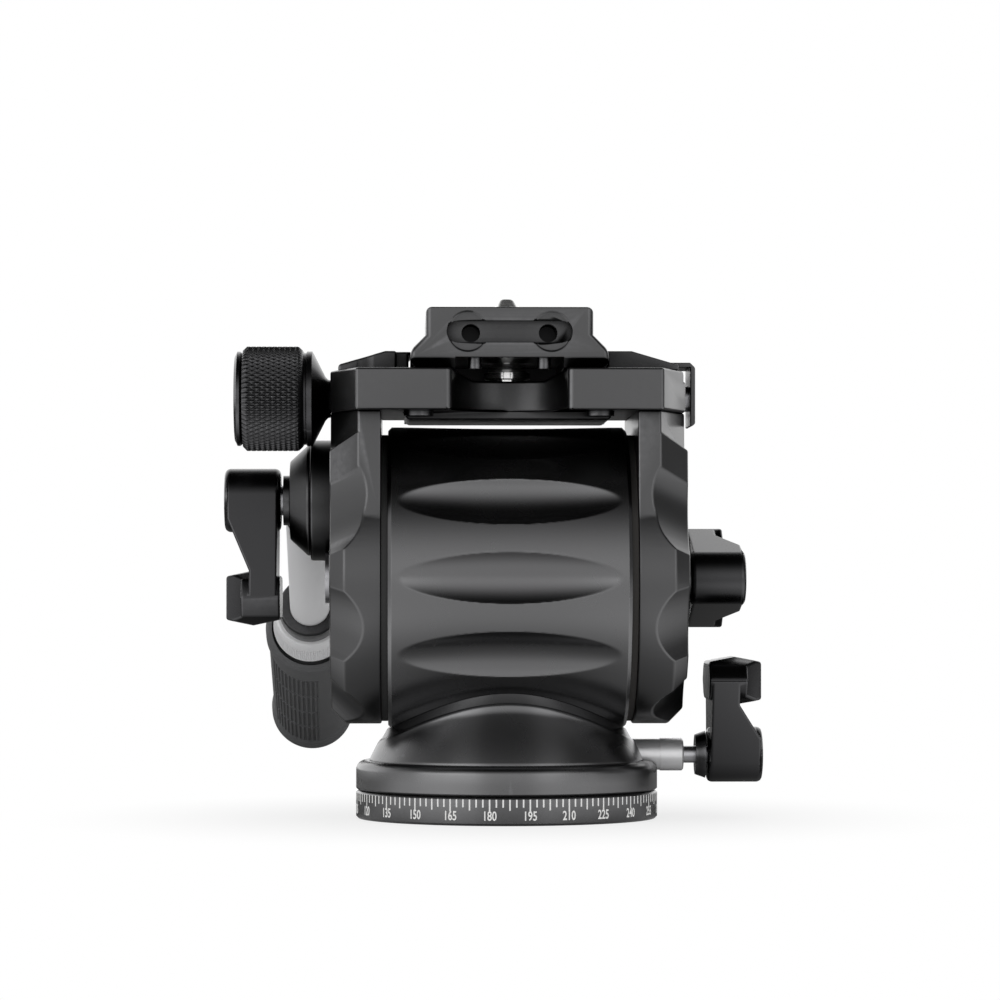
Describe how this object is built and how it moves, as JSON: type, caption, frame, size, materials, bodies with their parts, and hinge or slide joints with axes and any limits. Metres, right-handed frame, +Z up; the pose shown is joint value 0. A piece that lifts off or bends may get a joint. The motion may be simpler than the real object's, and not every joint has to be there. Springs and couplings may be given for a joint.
{
  "type": "fluid video head",
  "caption": "Compact fluid pan and tilt head with a fluted drum, dovetail camera clamp with quick-release plate, T-bar lock levers and a telescopic pan handle.",
  "frame": {"origin": "centre of the base's underside, on the pan axis", "axes": "+Z up the pan axis, -Y towards the lens side, +X along the tilt axis to the side of the tilt lock lever"},
  "size_m": [0.1074, 0.2728, 0.1032],
  "materials": {
    "black_anodised": "black satin anodised",
    "black_lever": "black gloss anodised",
    "silver": "clear satin anodised",
    "steel": "machined",
    "black_steel": "black oxide",
    "chrome": "polished",
    "rubber": "matt",
    "brass": "machined",
    "polymer": "plain",
    "friction": "bonded lining",
    "dark_polymer": "plain"
  },
  "bodies": {
    "base": {"base_ring": "black_anodised", "thread_insert": "steel", "pan_spindle": "steel", "base_screws": "steel", "pan_seal": "rubber", "pan_thrust_bearing": "steel", "pan_thrust_washer": "polymer", "pan_retaining_ring": "steel"},
    "pan_body": {"pan_housing": "black_anodised", "pan_lock_sleeve": "silver", "pan_lock_pad": "brass", "drum_screws": "steel", "tilt_drum": "black_anodised", "drum_cover": "black_anodised", "cover_screws": "steel", "damper_stator": "steel", "shaft_bearing_left": "steel", "shaft_bearing_right": "steel", "shaft_seal": "rubber", "stub_axle": "steel", "tilt_brake_disc": "friction"},
    "tilt_body": {"side_plate_left": "black_anodised", "side_plate_right": "black_anodised", "tilt_shaft": "steel", "damper_rotor": "silver", "plate_bearing": "steel", "shaft_end_screw": "steel", "hub_cap": "black_anodised", "clamp_body": "black_anodised", "clamp_bolts": "steel", "arm_screws": "black_steel", "rosette_base": "black_anodised", "tilt_thrust_washer": "dark_polymer"},
    "pan_lock": {"pan_lever": "black_lever", "pan_lock_stud": "steel", "pan_lock_collar": "black_anodised"},
    "tilt_lock": {"tilt_lever": "black_lever"},
    "handle_lock": {"rosette_lever": "black_lever", "rosette_bolt": "steel", "rosette_washer": "black_steel"},
    "knob": {"clamp_knob": "black_anodised", "knob_cap": "black_anodised"},
    "jaw": {"movable_jaw": "black_anodised", "draw_bolt": "steel"},
    "plate": {"camera_plate": "black_anodised", "screw_retainer": "steel", "stop_screws": "black_steel"},
    "screw": {"camera_screw": "chrome"},
    "handle": {"handle_head": "black_anodised", "handle_tube": "silver", "tube_bush": "polymer"},
    "grip": {"grip_core": "black_anodised", "handle_grip": "rubber", "grip_cap": "rubber"},
    "twist": {"twist_ring": "silver"}
  },
  "joints": [
    {"name": "pan", "type": "hinge", "parent": "base", "child": "pan_body", "pos_m": [0, 0, 0.0085], "axis": [0, 0, 1], "continuous": true},
    {"name": "tilt", "type": "hinge", "parent": "pan_body", "child": "tilt_body", "pos_m": [0, 0, 0.0477], "axis": [1, 0, 0], "range_deg": [-80, 90]},
    {"name": "pan_lock_turn", "type": "hinge", "parent": "pan_body", "child": "pan_lock", "pos_m": [0.045, 0, 0.0125], "axis": [1, 0, 0], "range_deg": [-75, 75]},
    {"name": "tilt_lock_turn", "type": "hinge", "parent": "pan_body", "child": "tilt_lock", "pos_m": [0.042, 0, 0.0477], "axis": [1, 0, 0], "range_deg": [0, 100]},
    {"name": "handle_lock_turn", "type": "hinge", "parent": "tilt_body", "child": "handle_lock", "pos_m": [-0.05, 0.008, 0.0633], "axis": [1, 0, 0], "range_deg": [-60, 60]},
    {"name": "knob_turn", "type": "hinge", "parent": "tilt_body", "child": "knob", "pos_m": [-0.044, 0, 0.0834], "axis": [-1, 0, 0], "range_deg": [0, 1800]},
    {"name": "jaw_slide", "type": "slide", "parent": "tilt_body", "child": "jaw", "axis": [1, 0, 0], "range_m": [0, 0.005]},
    {"name": "plate_slide", "type": "slide", "parent": "tilt_body", "child": "plate", "axis": [0, 1, 0], "range_m": [-0.012, 0.012]},
    {"name": "camera_screw_turn", "type": "hinge", "parent": "plate", "child": "screw", "pos_m": [0, 0, 0.095], "axis": [0, 0, 1], "continuous": true},
    {"name": "handle_angle", "type": "hinge", "parent": "tilt_body", "child": "handle", "pos_m": [-0.0415, 0.008, 0.0633], "axis": [1, 0, 0], "range_deg": [-60, 60]},
    {"name": "handle_extension", "type": "slide", "parent": "handle", "child": "grip", "axis": [-0.0192, 0.9772, -0.2113], "range_m": [0, 0.08]},
    {"name": "twist_lock", "type": "hinge", "parent": "grip", "child": "twist", "pos_m": [-0.04, 0.008, 0.0633], "axis": [-0.0192, 0.9772, -0.2113], "range_deg": [0, 90]}
  ],
  "couplings": [
    {"joint": "jaw_slide", "follows": "knob_turn", "m_per_rad": 0.000159}
  ]
}
